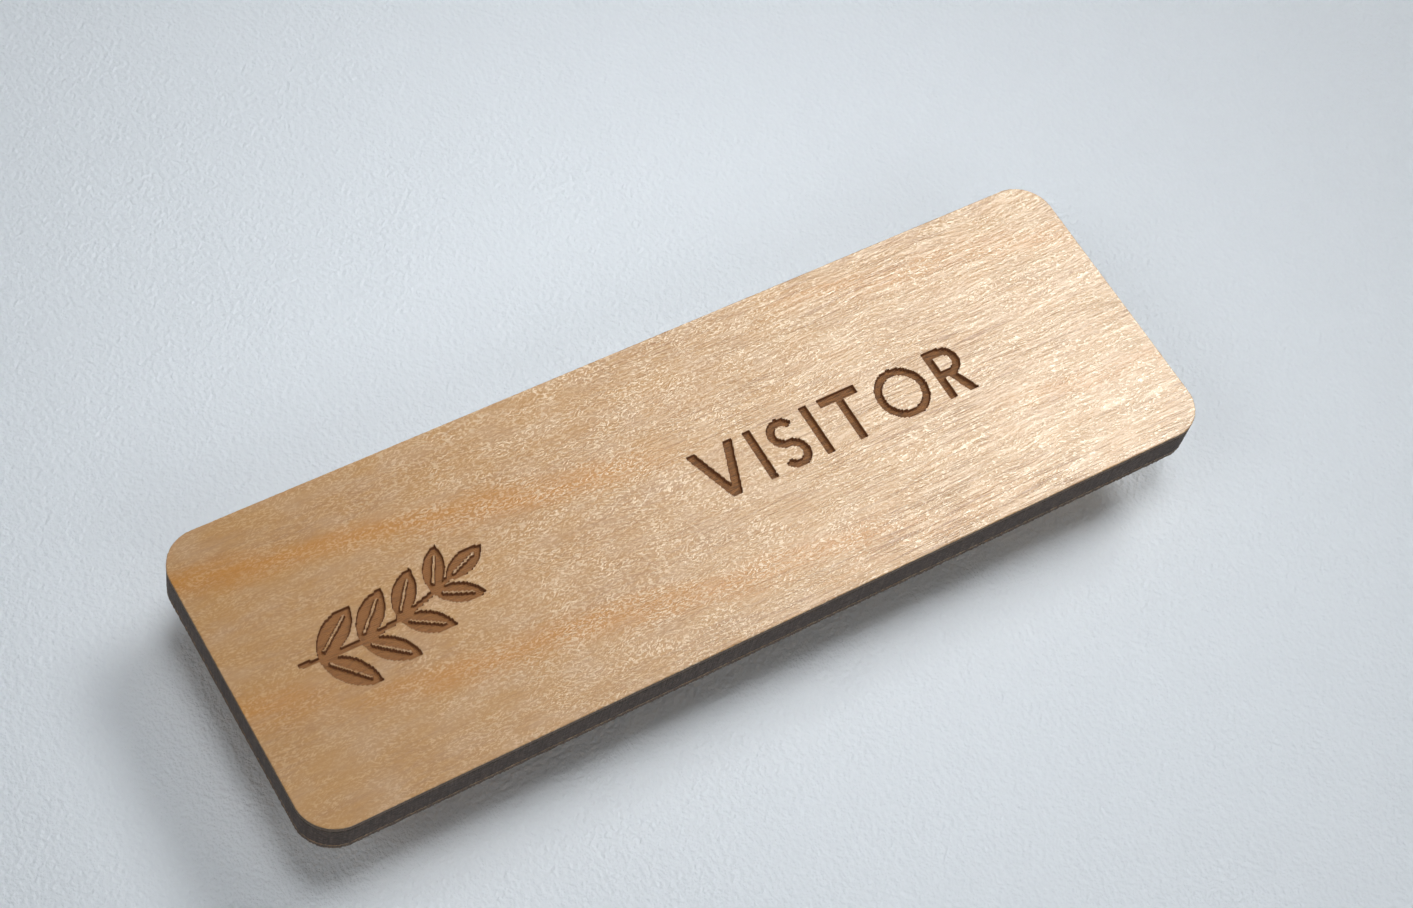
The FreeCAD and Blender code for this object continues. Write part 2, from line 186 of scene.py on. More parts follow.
@dataclass(frozen=True)
class Scatter:
    """Soft blotches of a real size, scattered over a surface.

    The size is one blotch's along each axis, in millimetres. The span is the pair of noise levels
    between which a blotch goes from 0 to 1. Each octave of detail adds noise half as large, and the
    turn lays the blotches at an angle about Z, in degrees.
    """

    size: tuple[float, float, float]
    span: tuple[float, float] = (0.3, 0.7)
    seed: float = 0.0
    detail: float = 2.0
    turn: float = 0.0

    def lay(self, blank: Blank, place: Node | None = None) -> Node:
        """Lay the blotches.

        Args:
            blank: The material just begun.
            place: Where on the piece, in millimetres, if not just at the blank's own place.

        Returns:
            A node that gives 0 off the blotches and 1 on them.
        """
        tree = blank.tree
        angle = (0, 0, -math.radians(self.turn))
        angled = add(tree, "ShaderNodeMapping", {"Vector": place or blank.place, "Rotation": angle})
        steps = tuple(1 / step for step in self.size)
        sized = add(tree, "ShaderNodeMapping", {"Vector": angled, "Scale": steps})
        links = {"Vector": sized, "W": blank.seed + self.seed, "Scale": 1.0, "Detail": self.detail}
        cloud = add(tree, "ShaderNodeTexNoise", links, noise_dimensions="4D")
        low, high = self.span
        links = {"Value": cloud, "From Min": low, "From Max": high}
        return add(tree, RANGE, links, interpolation_type=SMOOTH)


@dataclass(frozen=True)
class Fade:
    """A fade along X between two places, in millimetres, from the least share to the most."""

    start: float
    end: float
    least: float = 0.0
    most: float = 1.0

    def lay(self, blank: Blank) -> Node:
        """Lay the fade.

        Args:
            blank: The material just begun.

        Returns:
            A node that gives the share.
        """
        along = add(blank.tree, SPLIT, {0: blank.place}).outputs[0]
        places = {"Value": along, "From Min": self.start, "From Max": self.end}
        return add(blank.tree, RANGE, places | {"To Min": self.least, "To Max": self.most})


# ---- finishes ---------------------------------------------------------------------------------


@dataclass(frozen=True)
class GrowthStreak:
    """An orange streak where a growth ring meets the surface.

    It crosses the middle of the board at a height, rises by so much for each millimetre along it,
    is so wide on either side, and shows from its start to its end, all in millimetres.
    """

    height: float
    rise: float
    width: float
    start: float
    end: float
    strength: float = 1.0


@dataclass(frozen=True)
class OiledVeneer:
    """Cherry veneer, sliced, sanded and oiled, then cut by laser.

    Slicing crosses the fibres at a low angle, so they shine in short silky flecks that lie along the
    grain. The flecks are also painted paler, partly as paler fibre and partly as a painted highlight
    of that sheen, and long bright streaks towards the right are painted sheen alone. Growth rings
    leave orange streaks, and all that the laser has touched is brown char.
    Lengths are in millimetres, apart from the relief, and fades run along the board from its middle.
    """

    name: str = "oiled_cherry_veneer"
    seed: float = 0.0

    # The wood's colours, from its ground to its darkest line, and the tint of its shine. The flecks'
    # colour is partly the wood's own paler fibre and partly a painted sheen.
    tan: str = "ba8a4e"
    shade: str = "a87a4c"
    bloom: str = "c09c79"
    streak: str = "bd7c1e"
    # Paler flecks: partly paler fibre, partly a painted highlight of the sheen.
    fleck_and_painted_sheen: str = "f0d4b0"
    line: str = "8a582c"
    sheen: str = "fff8ec"

    # Char: the engraving's floor, its walls and the smoke stain round it, and the sheet's cut edge.
    floor_pale: str = "935f2b"
    floor_dark: str = "5e3710"
    wall: str = "74441d"
    stain: str = "8a5f3a"
    edge_pale: str = "6a5544"
    edge_dark: str = "46362b"

    # Dull drifts along the grain, broken up by finer ones, and the pale bloom over both.
    drifts: Scatter = Scatter((16, 3.2, 20), (0.35, 0.7), seed=3, detail=3)
    grain: Scatter = Scatter((1.6, 0.3, 2), (0.3, 0.75), seed=4, detail=3)
    clouds: Scatter = Scatter((3.4, 1.7, 9), (0.4, 0.72), seed=8, detail=4)
    bloom_most: float = 0.5

    # Growth streaks sway a little from straight, fade out at both ends, and are combed within.
    streaks: tuple[GrowthStreak, ...] = (
        GrowthStreak(height=3.5, rise=-0.14, width=2.1, start=-60, end=2),
        GrowthStreak(height=-8.3, rise=-0.12, width=2.0, start=-34, end=16),
        GrowthStreak(height=-7.9, rise=-0.13, width=2.6, start=-60, end=-28, strength=0.8),
        GrowthStreak(height=12.2, rise=-0.12, width=1.8, start=8, end=60, strength=0.75),
        GrowthStreak(height=-3.4, rise=-0.06, width=1.3, start=20, end=60, strength=0.7),
        GrowthStreak(height=-11.0, rise=0.02, width=1.2, start=0, end=26, strength=0.4),
    )
    sway: Scatter = Scatter((13, 6, 20), (0, 1), seed=0, detail=3)
    sway_width: float = 3.4
    streak_fade: float = 9.0
    combing: Scatter = Scatter((5, 0.35, 6), (0.2, 0.65), seed=2, detail=3)
    uncombed: float = 0.5
    combed: float = 0.45

    # Silky flecks, at two angles to the grain and in patches. A real one is about 0.05 mm wide,
    # which is too fine to show, so they are drawn two to three times as coarse. Their paler colour
    # is partly a painted highlight of the sheen, and they fade towards the left, where the sheen is weak.
    bend: Scatter = Scatter((7, 4, 9), (0, 1), seed=14, detail=1)
    bend_width: float = 1.2
    flecks: tuple[Scatter, ...] = (
        Scatter((0.3, 0.12, 1), (0.51, 0.64), seed=5, turn=17),
        Scatter((0.46, 0.16, 1), (0.51, 0.64), seed=6, turn=-15),
    )
    patches: Scatter = Scatter((3.2, 1.4, 9), (0.32, 0.62), seed=9, detail=3)
    patch_least: float = 0.25
    # Painted sheen: the flecks are painted weaker towards the left.
    flecks_painted_sheen_fade: Fade = Fade(-30.0, -8.0, least=0.3)

    # Painted sheen: long bright streaks between the flecks, only towards the right where the sheen is
    # strong, and as coarse.
    painted_sheen_threads: Scatter = Scatter((3.4, 0.24, 9), (0.44, 0.66), seed=10, detail=3)
    painted_sheen_threads_fade: Fade = Fade(-12.0, 18.0, most=0.5)

    # Thin dark lines, where the slice opened the wood's vessels. Those are 0.03 to 0.05 mm across,
    # so the lines are drawn about twice as wide.
    lines: Scatter = Scatter((4, 0.09, 6), (0.54, 0.65), seed=11, detail=1)
    line_patches: Scatter = Scatter((18, 5, 20), (0.35, 0.6), seed=12)
    lines_fade: Fade = Fade(-14.0, 14.0)
    lines_least: float = 0.14
    lines_more: float = 0.55

    # Char starts just below the sheet's two faces. Smoke stains the face up to the engraving, whose
    # floor is mottled along the laser's lines and paler towards the left. Burn is 1 well inside.
    char_from: tuple[float, float] = (0.03, 0.09)
    smoke_burn: float = 0.5
    smoke_most: float = 0.55
    inside_burn: float = 0.02
    wall_burn: tuple[float, float] = (0.6, 0.98)
    mottle: Scatter = Scatter((0.7, 0.13, 1), (0.25, 0.75), seed=13, detail=3)
    paler: Fade = Fade(-6.0, -17.0, most=0.5)
    scores: Scatter = Scatter((0.16, 0.16, 2.2), (0.3, 0.7), seed=15, detail=3)

    # Oiled wood is satin, and shines most on a fleck. Char is matte.
    satin: float = 0.31
    silk_polish: float = 0.08
    char_roughness: float = 0.8
    fibres: Scatter = Scatter((0.9, 0.2, 1), (0.2, 0.8), seed=17)
    line_depth: float = 0.8
    fleck_height: float = 0.8
    relief: float = 0.01 * MM

    def rings(self, blank: Blank) -> Node:
        """Draw the growth streaks.

        Args:
            blank: The material just begun.

        Returns:
            A node that gives 1 on a streak.
        """
        tree = blank.tree
        split = add(tree, SPLIT, {0: blank.place})
        drift = self.sway.lay(blank)
        width = self.sway_width
        swing = add(tree, MATH, {0: drift, 1: width, 2: -width / 2}, operation="MULTIPLY_ADD")
        total = add(tree, MATH, {0: 0.0, 1: 0.0})
        for streak in self.streaks:
            slant = add(
                tree, MATH, {0: split.outputs[0], 1: -streak.rise, 2: swing}, operation="MULTIPLY_ADD"
            )
            across = add(tree, MATH, {0: split.outputs[1], 1: slant}, operation="ADD")
            off = add(tree, MATH, {0: across, 1: streak.height}, operation="SUBTRACT")
            gap = add(tree, MATH, {0: off}, operation="ABSOLUTE")
            links = {
                "Value": gap, "From Min": 0.0, "From Max": streak.width,
                "To Min": streak.strength, "To Max": 0.0,
            }
            band = add(tree, RANGE, links, interpolation_type=SMOOTH)
            for end, fade in ((streak.start, self.streak_fade), (streak.end, -self.streak_fade)):
                links = {"Value": split.outputs[0], "From Min": end, "From Max": end + fade}
                reach = add(tree, RANGE, links, interpolation_type=SMOOTH)
                band = add(tree, MATH, {0: band, 1: reach}, operation="MULTIPLY")
            total = add(tree, MATH, {0: total, 1: band}, operation="MAXIMUM")
        comb = self.combing.lay(blank)
        share = add(tree, MATH, {0: comb, 1: self.combed, 2: self.uncombed}, operation="MULTIPLY_ADD")
        return add(tree, MATH, {0: total, 1: share}, operation="MULTIPLY")

    def wavy(self, blank: Blank) -> Node:
        """Bend the grain from side to side a little.

        Args:
            blank: The material just begun.

        Returns:
            A node that gives the place, moved across the grain.
        """
        tree, width = blank.tree, self.bend_width
        bend = self.bend.lay(blank)
        aside = add(tree, MATH, {0: bend, 1: width, 2: -width / 2}, operation="MULTIPLY_ADD")
        return add(tree, VECTOR, {0: blank.place, 1: add(tree, JOIN_XYZ, {1: aside})}, operation="ADD")

    def silk(self, blank: Blank, wavy: Node) -> Node:
        """Draw the silky flecks and the painted sheen's streaks.

        Args:
            blank: The material just begun.
            wavy: The place on the piece, along the wavy grain.

        Returns:
            A node that gives 1 where the flecks and the painted sheen are brightest.
        """
        tree, least = blank.tree, self.patch_least
        shine = add(tree, MATH, {0: 0.0, 1: 0.0})
        for flecks in self.flecks:
            shine = add(tree, MATH, {0: shine, 1: flecks.lay(blank, wavy)}, operation="MAXIMUM")
        patch = self.patches.lay(blank)
        silky = add(tree, MATH, {0: patch, 1: 1 - least, 2: least}, operation="MULTIPLY_ADD")
        shine = add(tree, MATH, {0: shine, 1: silky}, operation="MULTIPLY")
        shine = add(tree, MATH, {0: shine, 1: self.flecks_painted_sheen_fade.lay(blank)}, operation="MULTIPLY")
        # Painted sheen: bright streaks, only towards the right.
        painted_sheen_threads = self.painted_sheen_threads.lay(blank, wavy)
        painted_sheen_threads = add(tree, MATH, {0: painted_sheen_threads, 1: self.painted_sheen_threads_fade.lay(blank)}, operation="MULTIPLY")
        return add(tree, MATH, {0: shine, 1: painted_sheen_threads}, operation="ADD", use_clamp=True)

    def dark_lines(self, blank: Blank) -> Node:
        """Draw the thin dark lines.

        Args:
            blank: The material just begun.

        Returns:
            A node that gives how strong a line is, and 0 off the lines.
        """
        tree = blank.tree
        patch = self.line_patches.lay(blank)
        where = add(tree, MATH, {0: patch, 1: self.lines_fade.lay(blank)}, operation="MULTIPLY")
        links = {0: where, 1: self.lines_more, 2: self.lines_least}
        strong = add(tree, MATH, links, operation="MULTIPLY_ADD")
        return add(tree, MATH, {0: self.lines.lay(blank), 1: strong}, operation="MULTIPLY")

    def wood(self, blank: Blank, shine: Node, lines: Node) -> Node:
        """Colour the bare wood, from its ground up.

        Args:
            blank: The material just begun.
            shine: The silky flecks, with the painted sheen.
            lines: The thin dark lines.

        Returns:
            A node that gives the colour.
        """
        tree = blank.tree
        dull = add(tree, MATH, {0: self.drifts.lay(blank), 1: self.grain.lay(blank)}, operation="MULTIPLY")
        bloom = add(tree, MATH, {0: self.clouds.lay(blank), 1: self.bloom_most}, operation="MULTIPLY")
        # The flecks are painted paler: partly paler fibre, partly a painted highlight of the sheen.
        layers = (
            (dull, self.shade), (bloom, self.bloom), (self.rings(blank), self.streak),
            (shine, self.fleck_and_painted_sheen), (lines, self.line),
        )
        colour = linear(self.tan)
        for share, tone in layers:
            links = {"Factor": share, "A": colour, "B": linear(tone)}
            colour = add(tree, MIX, links, data_type="RGBA")
        return colour

    def char(self, blank: Blank, burnt: NodeSocket) -> Node:
        """Colour what the laser has cut.

        Args:
            blank: The material just begun.
            burnt: How far inside the engraving a point is.

        Returns:
            A node that gives the colour of the engraving, and elsewhere that of the sheet's edge.
        """
        tree = blank.tree
        links = {0: self.mottle.lay(blank), 1: self.paler.lay(blank)}
        mottle = add(tree, MATH, links, operation="ADD", use_clamp=True)
        links = {"Factor": mottle, "A": linear(self.floor_dark), "B": linear(self.floor_pale)}
        floor = add(tree, MIX, links, data_type="RGBA")
        start, full = self.wall_burn
        links = {"Value": burnt, "From Min": start, "From Max": full, "To Min": 1.0, "To Max": 0.0}
        rim = add(tree, RANGE, links, interpolation_type=SMOOTH)
        engraved = add(tree, MIX, {"Factor": rim, "A": floor, "B": linear(self.wall)}, data_type="RGBA")
        links = {
            "Factor": self.scores.lay(blank), "A": linear(self.edge_dark), "B": linear(self.edge_pale),
        }
        edge = add(tree, MIX, links, data_type="RGBA")
        inside = add(tree, MATH, {0: burnt, 1: self.inside_burn}, operation="GREATER_THAN")
        return add(tree, MIX, {"Factor": inside, "A": edge, "B": engraved}, data_type="RGBA")

    def cut(self, blank: Blank, layer: Layer) -> Node:
        """Tell what is cut from the sheet's two bare faces.

        Args:
            blank: The material just begun.
            layer: Which layer of the board the sheet is.

        Returns:
            A node that gives 0 on the two faces and 1 between them.
        """
        tree = blank.tree
        low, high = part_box(layer.value)
        level = add(tree, SPLIT, {0: blank.place}).outputs[2]
        under = add(tree, MATH, {0: high.z / MM, 1: level}, operation="SUBTRACT")
        over = add(tree, MATH, {0: level, 1: low.z / MM}, operation="SUBTRACT")
        depth = add(tree, MATH, {0: under, 1: over}, operation="MINIMUM")
        start, full = self.char_from
        links = {"Value": depth, "From Min": start, "From Max": full}
        return add(tree, RANGE, links, interpolation_type=SMOOTH)

    def dress(self, layer: Layer) -> Material:
        """Make the material.

        Args:
            layer: Which layer of the board the sheet is.

        Returns:
            The material.
        """
        blank = begin(self.name, self.seed)
        tree = blank.tree
        wavy = self.wavy(blank)
        shine = self.silk(blank, wavy)
        lines = self.dark_lines(blank)
        cut = self.cut(blank, layer)
        burnt = add(tree, "ShaderNodeAttribute", attribute_name=BURN).outputs["Fac"]
        links = {"Value": burnt, "From Min": 0.0, "From Max": self.smoke_burn, "To Max": self.smoke_most}
        smoke = add(tree, RANGE, links)
        links = {"Factor": smoke, "A": self.wood(blank, shine, lines), "B": linear(self.stain)}
        bare = add(tree, MIX, links, data_type="RGBA")
        links = {"Factor": cut, "A": bare, "B": self.char(blank, burnt)}
        colour = add(tree, MIX, links, data_type="RGBA")

        gloss = add(tree, MATH, {0: shine, 1: -self.silk_polish, 2: self.satin}, operation="MULTIPLY_ADD")
        dull = add(tree, MATH, {0: cut, 1: self.char_roughness}, operation="MULTIPLY")
        rough = add(tree, MATH, {0: gloss, 1: dull}, operation="MAXIMUM")
        fibres = self.fibres.lay(blank, wavy)
        height = add(tree, MATH, {0: lines, 1: -self.line_depth, 2: fibres}, operation="MULTIPLY_ADD")
        height = add(tree, MATH, {0: shine, 1: self.fleck_height, 2: height}, operation="MULTIPLY_ADD")
        normal = add(tree, "ShaderNodeBump", {"Height": height, "Distance": self.relief})
        blank.wire(Base_Color=colour, Roughness=rough, Normal=normal)
        blank.hold(IOR=1.6, Specular_IOR_Level=1.0, Specular_Tint=linear(self.sheen))
        return blank.coat


@dataclass(frozen=True)
class CharredBoard:
    """Fibreboard core, cut by laser: a dull charcoal edge with upright burn lines and fine crumbs."""

    dark: str = "3d3027"
    pale: str = "735e50"
    scores: Scatter = Scatter((0.16, 0.16, 2.2), (0.25, 0.75), seed=15, detail=3)
    crumbs: Scatter = Scatter((0.3, 0.3, 0.18), seed=5, detail=3)
    relief: float = 0.03 * MM

    def dress(self) -> Material:
        """Make the material.

        Returns:
            The material.
        """
        blank = begin("laser_charred_board")
        tree = blank.tree
        scores = self.scores.lay(blank)
        crumbs = self.crumbs.lay(blank)
        share = add(tree, MATH, {0: scores, 1: crumbs}, operation="MULTIPLY")
        links = {"Factor": share, "A": linear(self.dark), "B": linear(self.pale)}
        colour = add(tree, MIX, links, data_type="RGBA")
        height = add(tree, MATH, {0: scores, 1: crumbs}, operation="ADD")
        normal = add(tree, "ShaderNodeBump", {"Height": height, "Distance": self.relief})
        blank.wire(Base_Color=colour, Normal=normal)
        blank.hold(Roughness=0.7)
        return blank.coat


@dataclass(frozen=True)
class NickelPlate:
    """Bright nickel plate over steel: a warm grey mirror, hazed by fine rubbing.

    A real rub is about 0.01 mm across, which is too fine to show, so each is drawn ten times as wide.
    """

    name: str
    rubs: Scatter
    haze: Scatter = Scatter((3, 3, 3), seed=4)
    tint: str = "d6d1c8"
    polish: float = 0.1
    haze_more: float = 0.1
    rub_more: float = 0.1
    relief: float = 0.002 * MM

    def dress(self) -> Material:
        """Make the material.

        Returns:
            The material.
        """
        blank = begin(self.name)
        tree = blank.tree
        rubs = self.rubs.lay(blank)
        haze = self.haze.lay(blank)
        rough = add(tree, MATH, {0: haze, 1: self.haze_more, 2: self.polish}, operation="MULTIPLY_ADD")
        rough = add(tree, MATH, {0: rubs, 1: self.rub_more, 2: rough}, operation="MULTIPLY_ADD")
        normal = add(tree, "ShaderNodeBump", {"Height": rubs, "Distance": self.relief})
        blank.wire(Roughness=rough, Normal=normal)
        blank.hold(Base_Color=linear(self.tint), Metallic=1.0)
        return blank.coat


@dataclass(frozen=True)
class MouldedPlastic:
    """Black ABS from a spark-eroded mould: near black, with a fine even matte grain.

    The real grit is about 0.03 mm, which is too fine to show, so it is drawn at 0.14 mm.
    """

    dark: str = "161617"
    pale: str = "222224"
    grit: Scatter = Scatter((0.14, 0.14, 0.14), seed=1)
    clouds: Scatter = Scatter((6, 6, 6), seed=3)
    smooth: float = 0.38
    grit_more: float = 0.15
    relief: float = 0.01 * MM

    def dress(self) -> Material:
        """Make the material.

        Returns:
            The material.
        """
        blank = begin("moulded_black_plastic")
        tree = blank.tree
        grit = self.grit.lay(blank)
        links = {"Factor": self.clouds.lay(blank), "A": linear(self.dark), "B": linear(self.pale)}
        colour = add(tree, MIX, links, data_type="RGBA")
        rough = add(tree, MATH, {0: grit, 1: self.grit_more, 2: self.smooth}, operation="MULTIPLY_ADD")
        normal = add(tree, "ShaderNodeBump", {"Height": grit, "Distance": self.relief})
        blank.wire(Base_Color=colour, Roughness=rough, Normal=normal)
        return blank.coat


@dataclass(frozen=True)
class ClosedCellFoam:
    """White polyethylene foam, slit from a roll: soft and chalky, with cut bubbles along its edge.

    A bubble is about 0.2 mm across. Its wall starts at 0.1 of that from its middle, and is whole at 0.7.
    The hollow inside the wall is painted darker: a painted shade.
    """

    pale: str = "ecebe6"
    # Painted shade in the bubbles' hollows.
    dark: str = "bdbbb4"
    cell: float = 0.2
    wall: tuple[float, float] = (0.1, 0.7)
    relief: float = 0.05 * MM
    glow: float = 0.2
    glow_depth: float = 0.4 * MM

    def dress(self) -> Material:
        """Make the material.

        Returns:
            The material.
        """
        blank = begin("closed_cell_foam")
        tree = blank.tree
        cells = add(tree, "ShaderNodeTexVoronoi", {"Vector": blank.place, "Scale": 1 / self.cell})
        start, full = self.wall
        # Painted shade: darker towards a bubble's middle, pale on its wall.
        share = add(tree, RANGE, {"Value": cells, "From Min": start, "From Max": full})
        links = {"Factor": share, "A": linear(self.dark), "B": linear(self.pale)}
        colour = add(tree, MIX, links, data_type="RGBA")
        normal = add(tree, "ShaderNodeBump", {"Height": cells, "Distance": self.relief})
        blank.wire(Base_Color=colour, Normal=normal)
        blank.hold(Roughness=0.85, Subsurface_Weight=self.glow, Subsurface_Radius=(self.glow_depth,) * 3)
        return blank.coat


@dataclass(frozen=True)
class SatinTable:
    """Pale laminate table top: cool white and satin, with a pressed grain of 0.4 mm dimples."""

    colour: str = "e4ebf1"
    dimples: Scatter = Scatter((0.4, 0.4, 0.4), (0.2, 0.8), seed=1)
    relief: float = 0.09 * MM

    def dress(self) -> Material:
        """Make the material.

        Returns:
            The material.
        """
        blank = begin("satin_laminate")
        dimples = self.dimples.lay(blank)
        normal = add(blank.tree, "ShaderNodeBump", {"Height": dimples, "Distance": self.relief})
        blank.wire(Normal=normal)
        blank.hold(Base_Color=linear(self.colour), Roughness=0.42, IOR=1.5)
        return blank.coat


# ---- pieces grown from rules --------------------------------------------------------------------


def new_tree(name: str, inputs: dict[str, str]) -> tuple[NodeTree, dict[str, NodeSocket]]:
    """Start a Geometry Nodes tree with named inputs.

    Args:
        name: Name of the tree.
        inputs: Type of socket for each input's name, such as "Float".

    Returns:
        The tree, and the socket of each input.
    """
    tree = bpy.data.node_groups.new(name, "GeometryNodeTree")
    tree.interface.new_socket("Geometry", in_out="OUTPUT", socket_type="NodeSocketGeometry")
    for label, kind in inputs.items():
        tree.interface.new_socket(label, in_out="INPUT", socket_type=f"NodeSocket{kind}")
    given = add(tree, "NodeGroupInput")
    return tree, {label: given.outputs[label] for label in inputs}


def grown(name: str, tree: NodeTree, values: dict[str, Any]) -> Object:
    """Grow a plain mesh from a Geometry Nodes tree.

    Args:
        name: Name of the piece.
        tree: Tree that makes it.
        values: Value of each of the tree's inputs.

    Returns:
        The piece, as a mesh with no modifier.
    """
    seed = bpy.data.objects.new(f"{name}_seed", bpy.data.meshes.new(f"{name}_seed"))
    bpy.context.scene.collection.objects.link(seed)
    modifier = seed.modifiers.new("grow", "NODES")
    modifier.node_group = tree
    for item in tree.interface.items_tree:
        if item.in_out == "INPUT":
            modifier[item.identifier] = values[item.name]
    graph = bpy.context.evaluated_depsgraph_get()
    mesh = bpy.data.meshes.new_from_object(seed.evaluated_get(graph))
    bpy.data.objects.remove(seed)
    mesh.name = name
    piece = bpy.data.objects.new(name, mesh)
    bpy.context.scene.collection.objects.link(piece)
    return piece


def mount(piece: Object, layer: Layer) -> None:
    """Put a grown layer on the badge front, in place of its CAD node.

    Args:
        piece: The piece.
        layer: Layer that it is.
    """
    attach(piece, FRONT_BODY)
    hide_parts(layer.value)
    log.info("%s: %d faces, on %s", piece.name, len(piece.data.polygons), FRONT_BODY)


def corner_radius(layer: Layer) -> float:
    """Measure the corner radius of a layer.

    Args:
        layer: The layer.

    Returns:
        How far the straight part of its long side stops short of its end, in metres.
    """
    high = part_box(layer.value)[1]
    back = [v.co.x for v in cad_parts[layer.value].data.vertices if high.y - v.co.y < NEAR]
    return high.x - max(back)


WALL_INPUTS = {
    "Length": "Float",
    "Width": "Float",
    "Corner": "Float",
    "Base": "Float",
    "Height": "Float",
    "Columns": "Int",
    "Rows": "Int",
    "Depth": "Float",
    "Score Width": "Float",
    "Score Height": "Float",
    "Rounding": "Float",
    "Seed": "Float",
}
CORNER_STEPS = 48  # points round each corner of a layer's outline
SCORE_LEVELS = (0.3, 0.75)  # noise levels between which the wall goes from whole to fully scored


@dataclass(frozen=True)
class EdgeCut:
    """How a flat layer's edge is cut, in metres: the mesh's steps, and the scores across it."""

    column: float
    row: float
    depth: float
    score_width: float
    score_height: float
    rounding: float
    seed: float = 15.0

    def values(self, layer: Layer) -> dict[str, Any]:
        """Give a layer's sizes to the wall tree.

        Args:
            layer: The layer.

        Returns:
            Value of each of the wall tree's inputs.
        """
        low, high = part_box(layer.value)
        size = high - low
        round_trip = 2 * (size.x + size.y)
        sizes = (size.x, size.y, corner_radius(layer), low.z, size.z)
        counts = (round(round_trip / self.column), round(size.z / self.row) + 1)
        scores = (self.depth, self.score_width, self.score_height, self.rounding, self.seed)
        return dict(zip(WALL_INPUTS, (*sizes, *counts, *scores)))


def wall_tree() -> NodeTree:
    """Make the tree that stands a cut wall round a rounded rectangle.

    The wall is a sheet of columns and rows, laid round the outline. Noise that is stretched up the
    wall scores it inwards, as a laser's beam does, and its top and bottom rows draw in a little.

    Returns:
        The tree. Its result is the wall alone, open at the top and the bottom.
    """
    tree, given = new_tree("cut_wall", WALL_INPUTS)
    sides = {"Width": given["Length"], "Height": given["Width"]}
    outline = add(tree, "GeometryNodeCurvePrimitiveQuadrilateral", sides)
    corners = {"Curve": outline, "Radius": given["Corner"], "Count": CORNER_STEPS}
    bend = add(tree, "GeometryNodeFilletCurve", corners, mode="POLY")
    sheet = add(
        tree, "GeometryNodeMeshGrid",
        {"Size X": 1.0, "Size Y": 1.0, "Vertices X": given["Columns"], "Vertices Y": given["Rows"]},
    )
    spot = add(tree, SPLIT, {0: add(tree, "GeometryNodeInputPosition")})
    along = add(tree, MATH, {0: spot.outputs[0], 1: 0.5}, operation="ADD")
    share = add(tree, MATH, {0: spot.outputs[1], 1: 0.5}, operation="ADD")
    links = {"Curves": bend, "Factor": along}
    rim = add(tree, "GeometryNodeSampleCurve", links, mode="FACTOR", use_all_curves=True)

    side = add(tree, VECTOR, {0: rim.outputs["Tangent"], 1: (0, 0, 1)}, operation="CROSS_PRODUCT")
    toward = add(tree, VECTOR, {0: side, 1: rim.outputs["Position"]}, operation="DOT_PRODUCT")
    sign = add(tree, MATH, {0: toward}, operation="SIGN")
    outward = add(tree, VECTOR, {"Vector": side, "Scale": sign}, operation="SCALE")
    rise = add(tree, MATH, {0: share, 1: given["Height"]}, operation="MULTIPLY")
    level = add(tree, MATH, {0: rise, 1: given["Base"]}, operation="ADD")
    flat = add(tree, SPLIT, {0: rim.outputs["Position"]})
    place = add(tree, JOIN_XYZ, {0: flat.outputs[0], 1: flat.outputs[1], 2: level})

    width = given["Score Width"]
    grain = add(tree, JOIN_XYZ, {0: width, 1: width, 2: given["Score Height"]})
    scaled = add(tree, VECTOR, {0: place, 1: grain}, operation="DIVIDE")
    links = {"Vector": scaled, "W": given["Seed"], "Scale": 1.0, "Detail": 3.0}
    cloud = add(tree, "ShaderNodeTexNoise", links, noise_dimensions="4D")
    whole, scored = SCORE_LEVELS
    links = {"Value": cloud, "From Min": whole, "From Max": scored, "To Max": given["Depth"]}
    score = add(tree, RANGE, links, interpolation_type=SMOOTH)
    below = add(tree, MATH, {0: given["Height"], 1: rise}, operation="SUBTRACT")
    edge = add(tree, MATH, {0: rise, 1: below}, operation="MINIMUM")
    near = add(tree, MATH, {0: edge, 1: given["Rounding"]}, operation="DIVIDE")
    lip = add(tree, MATH, {0: 1.0, 1: near}, operation="SUBTRACT", use_clamp=True)
    curl = add(tree, MATH, {0: lip, 1: 2.0}, operation="POWER")
    inset = add(tree, MATH, {0: curl, 1: given["Rounding"], 2: score}, operation="MULTIPLY_ADD")
    back = add(tree, MATH, {0: inset, 1: -1.0}, operation="MULTIPLY")
    shift = add(tree, VECTOR, {"Vector": outward, "Scale": back}, operation="SCALE")
    moved = add(tree, VECTOR, {0: place, 1: shift}, operation="ADD")
    wall = add(tree, "GeometryNodeSetPosition", {"Geometry": sheet, "Position": moved})
    closed = add(tree, "GeometryNodeMergeByDistance", {"Geometry": wall, "Distance": WELD})
    add(tree, "NodeGroupOutput", {0: closed})
    return tree


def ring_at(tree: NodeTree, mesh: Node, height: Any) -> Node:
    """Pick out the ring of edges that lies at a height, as a curve.

    Args:
        tree: Tree to add to.
        mesh: Node that gives the mesh with the ring.
        height: The ring's height.

    Returns:
        The node that gives the curve.
    """
    spot = add(tree, SPLIT, {0: add(tree, "GeometryNodeInputPosition")})
    there = add(
        tree, "FunctionNodeCompare", {"A": spot.outputs[2], "B": height, "Epsilon": WELD},
        data_type="FLOAT", operation="EQUAL",
    )
    return add(tree, "GeometryNodeMeshToCurve", {"Mesh": mesh, "Selection": there})


